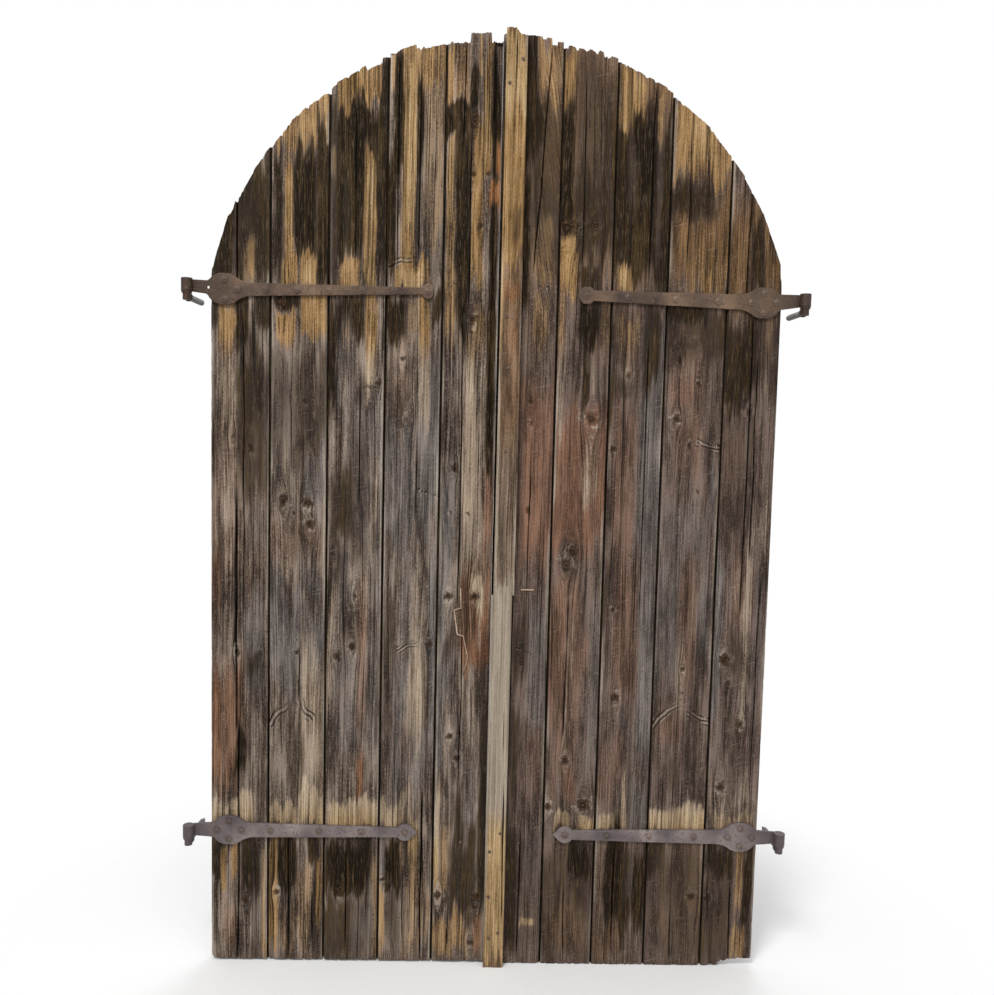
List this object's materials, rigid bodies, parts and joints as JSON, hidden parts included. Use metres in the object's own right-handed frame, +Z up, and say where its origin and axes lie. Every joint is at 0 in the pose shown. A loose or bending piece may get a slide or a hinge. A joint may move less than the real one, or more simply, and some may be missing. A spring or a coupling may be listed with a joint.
{
  "type": "arched wooden door",
  "caption": "Arched wooden double door of weathered upright boards with a cover strip, hung on forged strap hinges that turn on wall pintles.",
  "frame": {"origin": "foot of the closed door, on the line where the leaves meet, halfway through the depth from the eyes' front to the shanks' points", "axes": "+X to the right seen from the front, +Y from the front to the back, +Z up"},
  "size_m": [1.425, 0.1342, 2.172],
  "materials": {
    "board_wood": "weathered, raised grain, cracked and stained",
    "strip_wood": "weathered, bleached",
    "back_wood": "sawn, aged",
    "forged_iron": "hammered, rusted brown",
    "nail_iron": "forged, rusted"
  },
  "bodies": {
    "pintles": {"left_upper_pintle": "forged_iron", "right_upper_pintle": "forged_iron", "left_lower_pintle": "forged_iron", "right_lower_pintle": "forged_iron"},
    "left_leaf": {"left_board_1": "board_wood", "left_board_2": "board_wood", "left_board_3": "board_wood", "left_board_4": "board_wood", "left_board_5": "board_wood", "left_upper_ledge": "back_wood", "left_lower_ledge": "back_wood", "left_brace": "back_wood", "left_upper_strap": "forged_iron", "left_lower_strap": "forged_iron", "left_upper_strap_nails": "nail_iron", "left_lower_strap_nails": "nail_iron", "left_board_nails": "nail_iron", "latch_wire": "nail_iron"},
    "right_leaf": {"right_board_1": "board_wood", "right_board_2": "board_wood", "right_board_3": "board_wood", "right_board_4": "board_wood", "right_board_5": "board_wood", "right_upper_ledge": "back_wood", "right_lower_ledge": "back_wood", "right_brace": "back_wood", "right_upper_strap": "forged_iron", "right_lower_strap": "forged_iron", "right_upper_strap_nails": "nail_iron", "right_lower_strap_nails": "nail_iron", "right_board_nails": "nail_iron", "cover_strip": "strip_wood", "cover_strip_nails": "nail_iron", "staple": "nail_iron"}
  },
  "joints": [
    {"name": "left_leaf_swing", "type": "hinge", "parent": "pintles", "child": "left_leaf", "pos_m": [-0.7, -0.05456, 0.325], "axis": [0, 0, -1], "range_deg": [0, 170]},
    {"name": "right_leaf_swing", "type": "hinge", "parent": "pintles", "child": "right_leaf", "pos_m": [0.7, -0.05456, 0.325], "axis": [0, 0, 1], "range_deg": [0, 170]}
  ]
}
